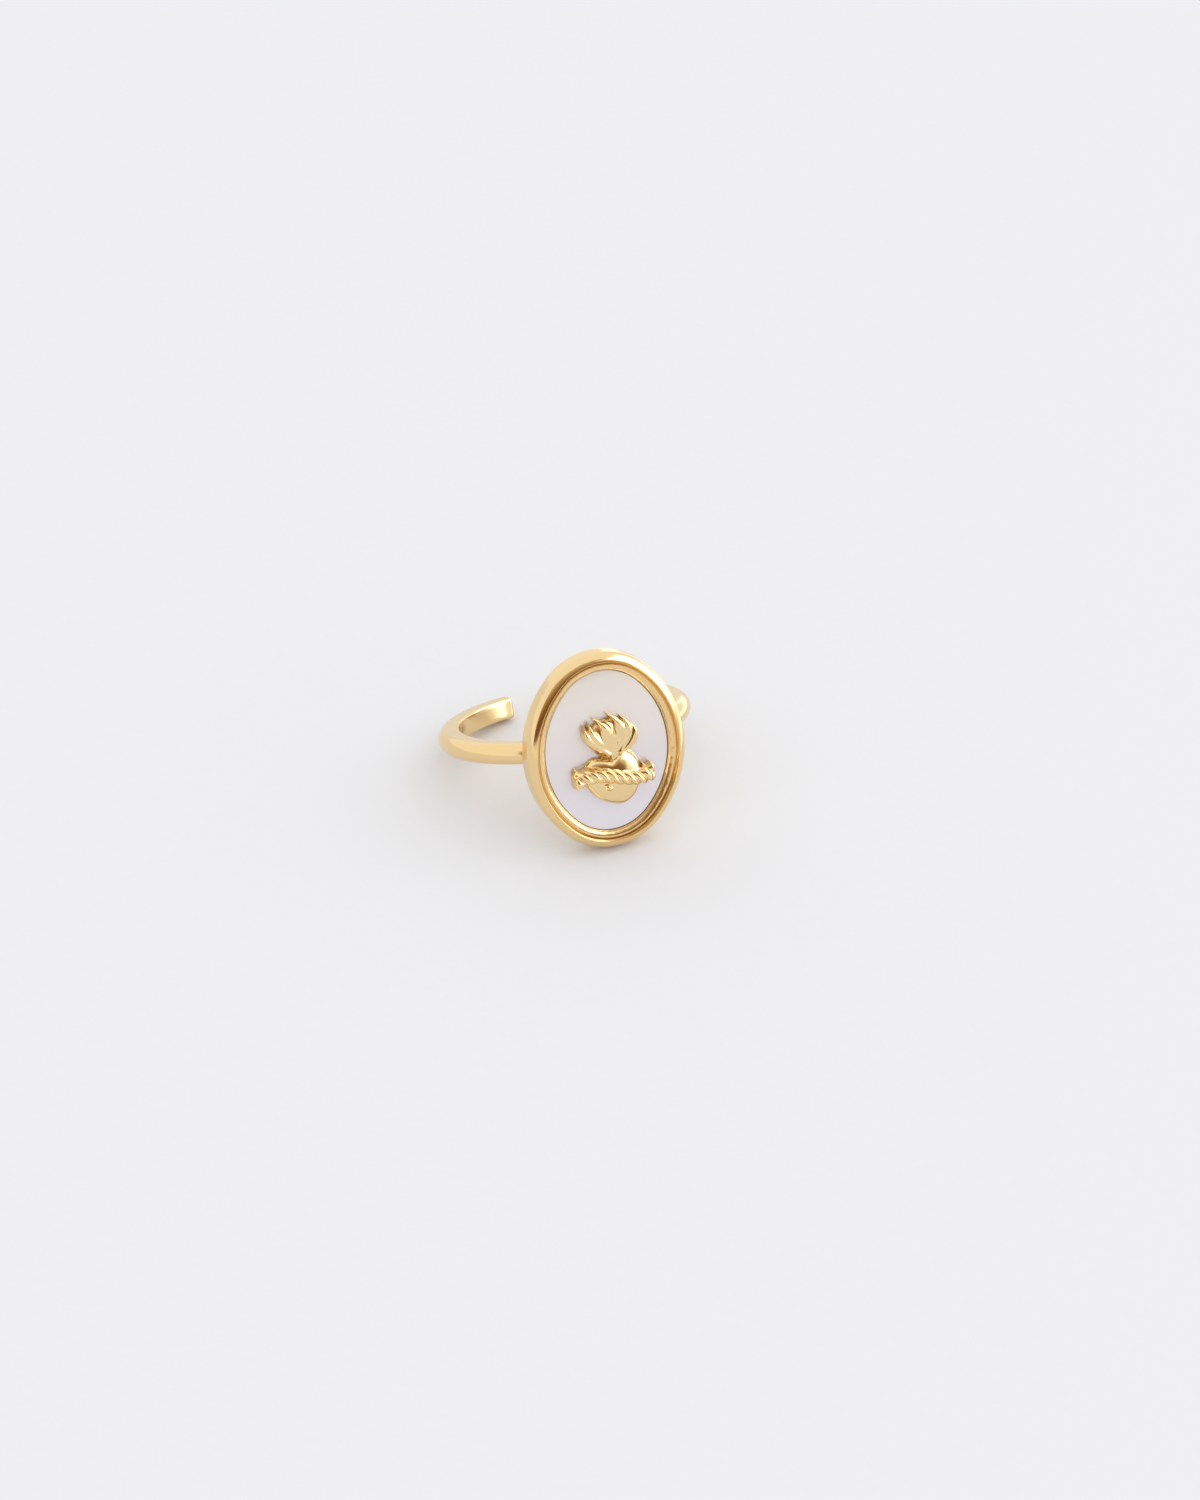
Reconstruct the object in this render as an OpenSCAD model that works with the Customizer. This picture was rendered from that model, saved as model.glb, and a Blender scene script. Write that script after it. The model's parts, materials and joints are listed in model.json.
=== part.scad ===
// Adjustable ring as it lies on a surface: an open half-round band, an oval bezel whose rounded
// rim has a lower collar inside it, a pale shell inlay, and a cast flaming heart with a crown of
// thorns on it.
// Millimetres, +Z up. The head faces -Y and leans back, the band slopes down to its two
// free ends behind it, and X = 0 is the mirror plane of band, bezel and inlay. The origin
// is on the surface, under the middle of the whole ring.

/* [Band] */
// Radius of the finger hole
bore_r = 8.5; // [7.5:0.1:10]
// Thickness of the band, from its flat inside to its rounded outside
band_t = 1.85; // [1.4:0.05:2.1]
// Width of the band along the finger
band_w = 1.7; // [1.4:0.05:2]
// Rounding of the band's two inner edges
band_edge_r = 0.2; // [0.1:0.05:0.3]
// Half of the gap between the free ends, as an angle at the ring's centre
gap_half = 11; // [6:1:24]

/* [Head] */
// Width of the oval head
head_w = 13.2; // [12.4:0.2:14]
// Height of the oval head
head_h = 16.2; // [15.8:0.2:17]
// Thickness of the head, from its flat back to the ridge of its rim
head_t = 2.3; // [2:0.05:2.6]
// Radius of the arcs at the oval's two ends
end_r = 5.5; // [5.4:0.1:5.7]
// How far the flat back stands outside the finger hole
head_clear = 0.1; // [0.1:0.05:0.3]
// How far the middle of the head sits below the middle of the band
head_drop = 0.3; // [0:0.1:0.5]
// Lean of the head's top away from the finger, in degrees
head_lean = 6; // [0:0.5:7]

/* [Rim] */
// Width of the rim, from the outline to the inlay
rim_w = 1.45; // [1.4:0.05:1.5]
// Radius of the rim's rounded outside, up to its ridge
rim_r = 0.82; // [0.8:0.02:0.88]
// Where the rim's ridge lies, measured in from the outline
ridge_in = 0.66; // [0.62:0.02:0.7]
// Depth of the groove between the rim and the collar
groove_depth = 0.44; // [0.34:0.02:0.5]
// How much lower the collar is than the ridge
collar_low = 0.25; // [0.2:0.05:0.3]
// Radius of the collar, which was pressed over towards the inlay
collar_r = 0.45; // [0.4:0.05:0.45]
// Rounding of the head's back edge
back_edge_r = 0.5; // [0.3:0.05:0.6]

/* [Inlay] */
// Depth of the inlay's face below the ridge
inlay_depth = 0.6; // [0.6:0.05:0.8]
// Thickness of the inlay
inlay_t = 0.58; // [0.5:0.02:0.7]
// Gap around the inlay
inlay_gap = 0.03; // [0.02:0.01:0.06]
// Glue line under the inlay, and under the heart
glue_t = 0.02; // [0.01:0.01:0.04]

/* [Flaming heart] */
// Width of the heart
heart_w = 4.6; // [4.4:0.1:4.8]
// Relief of the heart's domed middle
heart_relief = 1.15; // [1:0.05:1.3]
// Thickness of the relief at its outline
edge_t = 0.22; // [0.16:0.02:0.3]
// Length of the crown of thorns
crown_l = 6.8; // [6.6:0.1:7]
// Radius of one strand of the crown
strand_r = 0.31; // [0.3:0.01:0.34]
// Turns of the strands along the crown
crown_turns = 2.8; // [2.2:0.1:3.2]
// Length of a thorn
thorn_l = 0.62; // [0.5:0.02:0.7]
// Radius of a flame at its widest
flame_r = 0.44; // [0.38:0.02:0.48]

/* [Hidden] */

smooth = 96;            // steps of a full round
gold = [0.90, 0.75, 0.44];
shell = [0.91, 0.90, 0.90];

// Oval outline of four arcs that meet tangentially
half_w = head_w / 2;
half_h = head_h / 2;
side_r = (half_w * half_w + half_h * half_h - 2 * half_h * end_r) / (2 * (half_w - end_r));
end_c = half_h - end_r;             // centres of the end arcs, above and below the middle
side_c = side_r - half_w;           // centres of the side arcs, beyond the middle
side_angle = atan2(end_c, side_c);  // half of the angle that a side arc spans

// Heights in the head, from its flat back
rim_z = head_t - sqrt(rim_r * rim_r - pow(rim_r - ridge_in, 2));    // where the wall turns into the rim
groove_in = ridge_in + 0.2;         // the groove's bottom, in from the outline
groove_z = head_t - groove_depth;
collar_in = rim_w - collar_r;       // the collar's top, in from the outline
collar_z = head_t - collar_low - collar_r;
collar_edge = 0.07;                 // width of the collar between its top and the groove
face_z = head_t - inlay_depth;
floor_z = face_z - inlay_t - glue_t;
band_seat = 0.4;                    // how deep the band runs into the head's back plate

// The band's rounded outside is a half circle
round_r = band_w / 2;
round_c = bore_r + band_t - round_r;

// Flaming heart, as heights over the inlay's face: x to the right and y up from the middle of
// the head. Its forms are domes over shapes, and the highest one at a point gives the height.
// The heart's two lobes, drawn 4.6 wide: middle, half length, half width, direction of the length
lobes = [[[-0.48, -2.31], 2.20, 1.54, -52], [[1.04, -2.26], 2.27, 1.44, -101]];
lobes_w = 4.6;
lobe_blend = 0.4;       // how softly the lobes flow into each other
lobe_trim = 0.06;
// The one wide dome that both lobes share, and how far in the heart rounds off to its outline
body = [[0.28, -2.35], 2.6, 2.45, 0];
body_rounding = 0.42;
// The bulb that the flames rise from, as points of its middle line: x, y, half width, height
bulb = [[0.38, -0.46, 0.52, 0.72], [0.32, 0.08, 0.86, 0.80], [0.16, 0.66, 1.26, 0.86],
    [0.02, 1.16, 1.55, 0.88], [-0.04, 1.54, 1.16, 0.82]];
// One flame a row: where it starts, two points that it bends towards, its tip and its width
flames = [
    [[-0.02, -0.12], [-0.92, 0.66], [-2.05, 1.40], [-1.78, 2.46], 0.95],
    [[-0.35, 0.52], [-0.72, 1.00], [-1.45, 1.50], [-1.42, 2.72], 0.95],
    [[0.10, 0.50], [-0.62, 1.50], [0.62, 1.74], [-1.00, 2.96], 1.15],
    [[0.66, 0.30], [1.22, 1.25], [1.58, 1.92], [0.20, 3.16], 1.15],
    [[0.86, -0.05], [1.50, 0.95], [2.20, 1.72], [1.30, 2.72], 0.95],
    [[0.86, -0.14], [1.70, 0.30], [2.66, 1.16], [1.98, 2.12], 0.95],
];
flame_steps = 9;
flame_low = 0.86;       // height of a flame at its foot
flame_rise = 0.24;      // what it gains towards its tip
flame_fall = 0.5;       // how far the tip itself drops
flame_sag = 0.26;       // how much lower a flame is along its sides
flame_edge = 5;         // the steeper, the narrower its rounded edge
gap_r = 0.06;           // forms that all but touch run together over this share of their size
// The crown's middle, the height of its ends, and how much higher its middle lies
crown_x = 0.2;
crown_low = 0.46;
crown_rise = 0.62;
// How far a strand's middle winds away from the crown's, and what it gains at the crown's ends
strand_off = 0.28;
end_spread = 0.11;
end_swell = 0.09;
// One thorn a row: where along the crown, which way, and its length as a multiple of thorn_l
thorns = [
    [-0.88, 118, 0.9], [-0.60, 112, 0.4], [0.70, 122, 0.6], [0.92, 112, 1.0], [-0.96, 215, 0.2],
    [-0.30, 262, 0.4], [0.20, 290, 0.7], [0.74, 280, 0.4], [0.97, 300, 0.4],
];
thorn_root = 0.24;
thorn_tip = 0.08;
// A drop on the heart under the crown, as a lobe, and its height
drop = [[-0.50, -2.72], 0.36, 0.2, -42];
drop_t = 0.22;
// The grid that the relief is cut on: its step, and its first and last lines
grid = 0.14;
low_x = -27; low_y = -35;
high_x = 30; high_y = 24;

// A turn about X, as [y, z]
function turned(p, angle) = [p.x * cos(angle) - p.y * sin(angle), p.x * sin(angle) + p.y * cos(angle)];

// A point of the head's middle plane, [up the face, out of the back], as [y, z] about the ring's centre
function head_point(p) = [-bore_r - head_clear, -head_drop] + turned([-p.y, p.x], head_lean);

// Lowest point of the head, and of the band's free ends, with the band tipped by an angle
function head_low(tip) = min(
    turned(head_point([back_edge_r - half_h, back_edge_r]), -tip).y - back_edge_r,
    turned(head_point([rim_r - half_h, rim_z]), -tip).y - rim_r);
function band_low(tip) = -round_c * cos(gap_half) * sin(tip)
    - round_r * norm([cos(gap_half) * sin(tip), cos(tip)]);

// The angle at which the head and the free ends both touch the surface, found by halving
function resting(low, high, steps) = let (mid = (low + high) / 2)
    steps == 0 ? mid
    : head_low(mid) < band_low(mid) ? resting(mid, high, steps - 1)
    : resting(low, mid, steps - 1);
rest_tip = resting(5, 45, 40);
rest_z = -band_low(rest_tip);

// Reach of the resting ring along Y, which the origin lies midway of
front_y = turned(head_point([rim_r - half_h, rim_z]), -rest_tip).x - rim_r;
back_y = round_c * cos(gap_half) * cos(rest_tip)
    + round_r * norm([cos(gap_half) * cos(rest_tip), sin(rest_tip)]);
rest_y = -(front_y + back_y) / 2;

// From the ring's own frame, with its axis along Z, to the resting one
module at_rest() {
    translate([0, rest_y, rest_z]) rotate([-rest_tip, 0, 0]) children();
}

// From the head's frame, with x to the right, y up the face and z out of it, to the ring's
module on_head() {
    translate([0, -bore_r - head_clear, -head_drop]) rotate([head_lean + 90, 0, 0]) children();
}

// Turns a section along the four arcs of the oval. The section reads its arc's radius in $arc_r.
module around_oval() {
    for (side = [0, 180]) rotate(side) {
        translate([-side_c, 0]) rotate(-side_angle) turn_section(2 * side_angle, side_r) children();
        translate([0, end_c]) rotate(side_angle) turn_section(180 - 2 * side_angle, end_r) children();
    }
}

module turn_section(angle, $arc_r) {
    rotate_extrude(angle = angle, $fn = smooth) children();
}

// Section of the bezel: back plate, wall, the rim with its rounded outside, cut away behind the
// ridge down to the groove and in line with the wall, and the collar beside the inlay
module bezel_section() {
    wall = $arc_r - rim_w;
    collar_w = collar_r + collar_edge;
    collar_start = wall + collar_w;
    square([$arc_r - back_edge_r, floor_z]);
    translate([$arc_r - back_edge_r, back_edge_r]) circle(r = back_edge_r, $fn = smooth);
    translate([wall, back_edge_r]) square([rim_w, floor_z - back_edge_r]);
    difference() {
        union() {
            translate([wall, floor_z]) square([rim_w, rim_z - floor_z]);
            translate([$arc_r - rim_r, rim_z]) circle(r = rim_r, $fn = smooth);
        }
        polygon([[$arc_r - groove_in, groove_z], [$arc_r - ridge_in, head_t],
            [$arc_r - ridge_in, head_t + 1], [wall - 1, head_t + 1], [wall - 1, 0],
            [wall, 0], [wall, rim_z], [collar_start, rim_z], [collar_start, groove_z]]);
    }
    translate([wall, floor_z]) square([collar_w, collar_z - floor_z]);
    translate([$arc_r - collar_in, collar_z]) intersection() {
        circle(r = collar_r, $fn = smooth);
        translate([-collar_r, 0]) square([collar_w, collar_r]);
    }
}

module inlay_section() {
    translate([0, floor_z + glue_t]) square([$arc_r - rim_w - inlay_gap, inlay_t]);
}

// Section of the band: flat inside with eased edges, rounded outside
module band_section() {
    side = round_r - band_edge_r;
    translate([bore_r + band_edge_r, -round_r]) square([round_c - bore_r - band_edge_r, band_w]);
    translate([bore_r, -side]) square([band_edge_r, 2 * side]);
    for (edge = [-side, side])
        translate([bore_r + band_edge_r, edge]) circle(r = band_edge_r, $fn = smooth);
    translate([round_c, 0]) circle(r = round_r, $fn = smooth);
}

// The open band, which ends inside the head's back plate
module band() {
    difference() {
        rotate(90 + gap_half) rotate_extrude(angle = 360 - 2 * gap_half, $fn = smooth) band_section();
        on_head() translate([-head_w, -head_h, band_seat]) cube([2 * head_w, 2 * head_h, head_h]);
    }
}

// Band and bezel are soldered, so they are one piece of metal
module band_and_bezel() {
    color(gold) at_rest() union() {
        band();
        on_head() around_oval() bezel_section();
    }
}

module shell_inlay() {
    color(shell) at_rest() on_head() around_oval() inlay_section();
}

// How far a point is inside a lobe: 1 in its middle and 0 on its outline
function inside_lobe(p, l) = let (d = turned(p - l[0], -l[3])) 1 - pow(d.x / l[1], 2) - pow(d.y / l[2], 2);

// A dome over a shape, by how far the point is inside it
function dome(inside, top) = edge_t + (top - edge_t) * sqrt(max(inside, 0));

// The two lobes flow into each other
function heart(p) = let (
        q = p * lobes_w / heart_w,
        a = inside_lobe(q, lobes[0]), b = inside_lobe(q, lobes[1]),
        inside = (a + b + norm([a - b, lobe_blend])) / 2 - lobe_trim,
        rounded = max(0, min(1, inside / body_rounding)),
        swell = max(0, inside_lobe(q, body)) * rounded * (2 - rounded))
    [inside, inside > 0 ? dome(swell, heart_relief) + drop_t * sqrt(max(inside_lobe(q, drop), 0)) : 0];

// A rib between two points of a line, each x, y, half width and height
function rib(p, a, b, steepness, sag) = let (
        run = [b.x - a.x, b.y - a.y],
        c = a + (b - a) * max(0, min(1, (p - [a.x, a.y]) * run / (run * run))),
        inside = 1 - pow(norm(p - [c.x, c.y]) / c[2], 2))
    [inside, inside > 0 ? dome(min(steepness * inside, 1), c[3] - sag * (1 - inside)) : 0];

// A flame swells and bows to one side and back as it narrows to its tip
function bend(f, s) = f[0] * pow(1 - s, 3) + 3 * f[1] * s * pow(1 - s, 2)
    + 3 * f[2] * s * s * (1 - s) + f[3] * pow(s, 3);
function flame_width(f, s) = flame_r * f[4] * 1.08 * sin(32 + 122 * s) * (1 - 0.76 * pow(s, 5));
function flame(f) = [for (k = [0:flame_steps]) let (s = k / flame_steps, p = bend(f, s), wide = flame_width(f, s))
    [p.x, p.y, wide, flame_low + flame_rise * s - flame_fall * pow(s, 8)]];

// Middle line of the crown, from one end, s = -1, to the other, s = 1. It lies over the heart.
crown_half = crown_l / 2 - strand_r;
function crown_point(s) = [
    crown_x + crown_half * s,
    -1.95 - s - 0.12 * s * s + 0.78 * pow(s, 3),
    crown_low + crown_rise * (1 - pow(abs(s), 2.6))];

// A strand winds around that line. The strands part a little and swell towards the crown's ends,
// and round off towards their outline.
function strand(p, phase) = let (
        s = max(-1, min(1, (p.x - crown_x) / crown_half)),
        beyond = max(0, abs(p.x - crown_x) - crown_half),
        c = crown_point(s),
        thick = strand_r + end_swell * pow(s, 4),
        off = strand_off + end_spread * pow(s, 4),
        turn = 180 * crown_turns * s + phase,
        slope = off * sin(turn) * PI * crown_turns / crown_half,
        aside = p.y - c.y - off * cos(turn),
        inside = 1 - (aside * aside / (1 + slope * slope) + 1.6 * beyond * beyond) / (thick * thick),
        top = c.z + 0.85 * off * sin(turn) + thick * sqrt(max(inside, 0)))
    [inside, inside > 0 ? edge_t + sqrt(min(3 * inside, 1)) * max(top - edge_t, 0) : 0];

function thorn(t) = let (c = crown_point(t[0]), reach = 0.3 + t[2] * thorn_l)
    [[c.x, c.y, thorn_root, c.z + 0.2],
     [c.x + reach * cos(t[1]), c.y + reach * sin(t[1]), thorn_tip, max(c.z - 0.1, 0.3)]];

// Each line with its steepness and sag
lines = concat([[bulb, 1, 0]], [for (f = flames) [flame(f), flame_edge, flame_sag]],
    [for (t = thorns) [thorn(t), 1, 0]]);

// A line is one form, and so is each strand
function line_form(p, l) = let (ribs = [for (k = [1:len(l[0]) - 1]) rib(p, l[0][k - 1], l[0][k], l[1], l[2])])
    [max([for (r = ribs) r[0]]), max([for (r = ribs) r[1]])];

// All forms at a point: how far it is inside them, and the height of the highest
function relief(p) = let (
        forms = concat([heart(p)], [for (phase = [7, 127, 247]) strand(p, phase)], [for (l = lines) line_form(p, l)]),
        nearest = max([for (f = forms) f[0]]),
        near = [for (f = forms) exp((f[0] - nearest) / gap_r)],
        inside = nearest + gap_r * ln(near * [for (n = near) 1]))
    [inside, inside > 0 ? max(edge_t, max([for (f = forms) f[1]])) : 0];

// The relief as one closed skin over the grid. Where its outline crosses the side of a grid
// cell, the skin has a point at the height of its edge, with a wall down to the flat underside.
module relief_skin() {
    wide = high_x - low_x + 1;
    high = high_y - low_y + 1;
    count = wide * high;
    field = [for (j = [low_y:high_y], i = [low_x:high_x]) relief(grid * [i, j])];
    function spot(k) = grid * [low_x + k % wide, low_y + floor(k / wide)];
    // Where the outline crosses from one grid point to the next
    function crossing(k, next) = let (a = field[k][0], b = field[next][0],
            part = (a > 0) == (b > 0) ? 0.5 : max(0.2, min(0.8, a / (a - b))))
        spot(k) + part * (spot(next) - spot(k));
    flat_points = concat(
        [for (k = [0:count - 1]) spot(k)],
        [for (k = [0:count - 1]) crossing(k, min(k + 1, count - 1))],
        [for (k = [0:count - 1]) crossing(k, min(k + wide, count - 1))]);
    heights = concat([for (f = field) f[1]], [for (k = [1:2 * count]) edge_t]);
    total = 3 * count;
    // A cell's share of the relief: its corners that are inside, and the crossings of its sides
    function share(k) = let (
            corners = [k, k + 1, k + 1 + wide, k + wide],
            sides = [count + k, 2 * count + k + 1, count + k + wide, 2 * count + k])
        [for (n = [0:3]) let (here = field[corners[n]][0] > 0, there = field[corners[(n + 1) % 4]][0] > 0)
            each concat(here ? [corners[n]] : [], here != there ? [sides[n]] : [])];
    shares = [for (j = [0:high - 2], i = [0:wide - 2]) let (cell = share(j * wide + i)) if (len(cell) > 0) cell];
    skin = [for (cell = shares) let (n = len(cell),
            first = n == 4 && abs(heights[cell[0]] - heights[cell[2]]) > abs(heights[cell[1]] - heights[cell[3]]) ? 1 : 0)
        for (k = [1:n - 2]) [cell[(first + k + 1) % n], cell[(first + k) % n], cell[first]]];
    underside = [for (cell = shares) [for (v = cell) v + total]];
    walls = [for (cell = shares, k = [0:len(cell) - 1]) let (a = cell[k], b = cell[(k + 1) % len(cell)])
        if (a >= count && b >= count) [a, b, b + total, a + total]];
    polyhedron(
        points = concat([for (k = [0:total - 1]) [flat_points[k].x, flat_points[k].y, heights[k]]],
            [for (p = flat_points) [p.x, p.y, 0]]),
        faces = concat(skin, underside, walls));
}

// Cast in one piece, and flat underneath
module flaming_heart() {
    color(gold) at_rest() on_head() translate([0, 0, face_z + glue_t]) relief_skin();
}

band_and_bezel();
shell_inlay();
flaming_heart();
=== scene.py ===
# Adjustable ring lying on a pale surface: gold-plated band and bezel, mother-of-pearl inlay
# and a cast flaming heart. Sizes are in mm and turn to metres when a mesh is made.
import json
import math

import bmesh
import bpy
import numpy as np
from mathutils import Matrix, Vector


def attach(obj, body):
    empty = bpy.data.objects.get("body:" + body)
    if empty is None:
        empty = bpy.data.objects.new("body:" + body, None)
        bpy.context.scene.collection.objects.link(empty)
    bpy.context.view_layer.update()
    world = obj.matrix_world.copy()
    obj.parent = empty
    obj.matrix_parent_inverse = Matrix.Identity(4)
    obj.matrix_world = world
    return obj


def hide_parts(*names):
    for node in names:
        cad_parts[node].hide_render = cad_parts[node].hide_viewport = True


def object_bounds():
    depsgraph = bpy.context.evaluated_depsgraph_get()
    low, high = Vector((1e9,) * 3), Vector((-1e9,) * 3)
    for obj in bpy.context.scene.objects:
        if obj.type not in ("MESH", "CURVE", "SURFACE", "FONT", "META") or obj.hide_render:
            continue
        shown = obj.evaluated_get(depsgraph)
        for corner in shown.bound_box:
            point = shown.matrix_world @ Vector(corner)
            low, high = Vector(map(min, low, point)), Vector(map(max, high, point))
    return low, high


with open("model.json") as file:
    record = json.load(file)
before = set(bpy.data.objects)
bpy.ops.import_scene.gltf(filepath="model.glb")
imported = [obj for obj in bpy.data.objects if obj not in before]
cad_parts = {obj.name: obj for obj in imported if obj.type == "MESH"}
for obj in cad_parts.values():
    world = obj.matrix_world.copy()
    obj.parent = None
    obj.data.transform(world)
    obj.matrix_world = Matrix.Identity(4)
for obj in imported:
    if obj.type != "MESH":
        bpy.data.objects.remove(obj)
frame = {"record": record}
cadBox = [list(corner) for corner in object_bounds()]
mm = 0.001


# Shared tools

def linear(hexColour):
    channels = [int(hexColour[k:k + 2], 16) / 255 for k in (1, 3, 5)]
    return [c / 12.92 if c <= 0.04045 else ((c + 0.055) / 1.055) ** 2.4 for c in channels] + [1.0]


def newMaterial(name):
    material = bpy.data.materials.new(name)
    material.use_nodes = True
    material.node_tree.nodes.clear()
    return material, material.node_tree


def addNode(tree, kind, inputs, **settings):
    node = tree.nodes.new(kind)
    for name, value in settings.items():
        setattr(node, name, value)
    for name, value in inputs.items():
        if isinstance(value, bpy.types.NodeSocket):
            tree.links.new(value, node.inputs[name])
        else:
            node.inputs[name].default_value = value
    return node


def setStops(ramp, stops):
    # stops are pairs of a place and a colour
    elements = ramp.color_ramp.elements
    while len(elements) > 1:
        elements.remove(elements[-1])
    for k, (place, colour) in enumerate(stops):
        stop = elements[0] if k == 0 else elements.new(place)
        stop.position, stop.color = place, linear(colour)


def makePiece(name, points, faces, place, material, sharpAngle):
    mesh = bpy.data.meshes.new(name)
    mesh.from_pydata((np.asarray(points) * mm).tolist(), [], faces)
    mesh.validate()
    tidy = bmesh.new()
    tidy.from_mesh(mesh)
    bmesh.ops.recalc_face_normals(tidy, faces=tidy.faces)
    tidy.to_mesh(mesh)
    tidy.free()
    mesh.shade_smooth()
    mesh.set_sharp_from_angle(angle=math.radians(sharpAngle))
    mesh.materials.append(material)
    mesh.transform(place)      # every piece keeps its place in its mesh, as the frame's own nodes do
    piece = bpy.data.objects.new(name, mesh)
    bpy.context.scene.collection.objects.link(piece)
    return piece


def bakeModifiers(piece):
    # the modified mesh takes the place of the plain one
    bpy.context.view_layer.update()
    evaluated = piece.evaluated_get(bpy.context.evaluated_depsgraph_get())
    mesh = bpy.data.meshes.new_from_object(evaluated)
    piece.modifiers.clear()
    piece.data = mesh


def skinSections(count, size, joinEnds, closeSections):
    # quads between successive sections of points
    faces = []
    for k in range(count if joinEnds else count - 1):
        low, high = k * size, (k + 1) % count * size
        for i in range(size if closeSections else size - 1):
            j = (i + 1) % size
            faces.append((low + i, low + j, high + j, high + i))
    return faces


def skinOval(count, size):
    # a section that runs round the oval, with a flat face inside its first and its last line
    faces = skinSections(count, size, True, False)
    return faces + [tuple(k * size + first for k in range(count)) for first in (0, size - 1)]


def arc(centre, radius, start, end, steps):
    angles = np.radians(np.linspace(start, end, steps + 1))
    return [(centre[0] + radius * math.cos(a), centre[1] + radius * math.sin(a)) for a in angles]


# Materials

# Pale yellow gold electroplated on brass and buffed on a mop. It is a mirror to the eye, in a warm
# straw colour that deepens to orange where gold reflects gold. The mop leaves a faint waviness.
plating = {
    "colour": "#F0D29B",
    "roughness": 0.14,
    "waveSpacing": 2.4,        # mm between the swells that the mop leaves
    "waveHeight": 0.006,
    "hairlineSpacing": 0.10,   # mm, drawn some five times as coarse as real polishing hairlines
    "hairlineHeight": 0.00025,
    # the collar, rubbed down over the inlay's edge by hand: dimples break up what it mirrors
    "dimpleSpacing": 0.55,     # mm
    "dimpleHeight": 0.04,
    "collarRoughness": 0.24,
}


def goldPlatingFinish(name, roughness, waveSpacing, waveHeight):
    material, tree = newMaterial(name)
    place = addNode(tree, "ShaderNodeTexCoord", {}).outputs["Object"]
    swell = addNode(tree, "ShaderNodeTexNoise", {
        "Vector": place, "Scale": 1 / (waveSpacing * mm), "Detail": 1.0, "Roughness": 0.4})
    hairline = addNode(tree, "ShaderNodeTexNoise", {
        "Vector": place, "Scale": 1 / (plating["hairlineSpacing"] * mm), "Detail": 2.0})
    swellBump = addNode(tree, "ShaderNodeBump", {
        "Height": swell.outputs["Fac"], "Strength": 1.0, "Distance": waveHeight * mm})
    fineBump = addNode(tree, "ShaderNodeBump", {
        "Height": hairline.outputs["Fac"], "Strength": 1.0, "Distance": plating["hairlineHeight"] * mm,
        "Normal": swellBump.outputs["Normal"]})
    shader = addNode(tree, "ShaderNodeBsdfPrincipled", {
        "Base Color": linear(plating["colour"]), "Metallic": 1.0, "Roughness": roughness,
        "Normal": fineBump.outputs["Normal"]})
    addNode(tree, "ShaderNodeOutputMaterial", {"Surface": shader.outputs["BSDF"]})
    return material


# The same plating over an investment casting that is tumbled and not buffed: a little softer, with
# a fine orange-peel skin that breaks each highlight up.
castPlating = {
    "colour": "#F2D6A0",
    "roughness": 0.16,
    "skinSpacing": 0.22,       # mm between the dimples of the casting skin
    "skinHeight": 0.0022,
}


def tumbledGoldCasting():
    material, tree = newMaterial("tumbledGoldCasting")
    place = addNode(tree, "ShaderNodeTexCoord", {}).outputs["Object"]
    skin = addNode(tree, "ShaderNodeTexNoise", {
        "Vector": place, "Scale": 1 / (castPlating["skinSpacing"] * mm), "Detail": 2.0, "Roughness": 0.5})
    bump = addNode(tree, "ShaderNodeBump", {
        "Height": skin.outputs["Fac"], "Strength": 1.0, "Distance": castPlating["skinHeight"] * mm})
    shader = addNode(tree, "ShaderNodeBsdfPrincipled", {
        "Base Color": linear(castPlating["colour"]), "Metallic": 1.0, "Roughness": castPlating["roughness"],
        "Normal": bump.outputs["Normal"]})
    addNode(tree, "ShaderNodeOutputMaterial", {"Surface": shader.outputs["BSDF"]})
    return material


# White mother-of-pearl, lapped flat and polished. It is a soft satin white under a clear gloss, with wide
# growth clouds.
# Painted light: its colour is made creamy and lighter towards the top and faintly lilac towards the bottom.
nacre = {
    # painted light: the face's colour from the bottom up, lighter and creamier towards the top
    "paintedLightTints": [(0.0, "#E8E5ED"), (0.45, "#E8E1E1"), (1.0, "#FAF3E6")],      # from the bottom up
    "cloud": "#DDD9DF",
    "cloudSpacing": 3.4,       # mm between growth clouds, which run across the face
    "cloudStretch": (0.35, 1.0, 1.0),
    "cloudShare": 0.35,
    "faceHalfHeight": 6.6,
    "lustre": 0.47,            # share of light that its stacked layers throw back like a dull mirror
    "roughness": 0.28,
    "glossRoughness": 0.03,
    "glossIor": 1.5,
}


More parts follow.
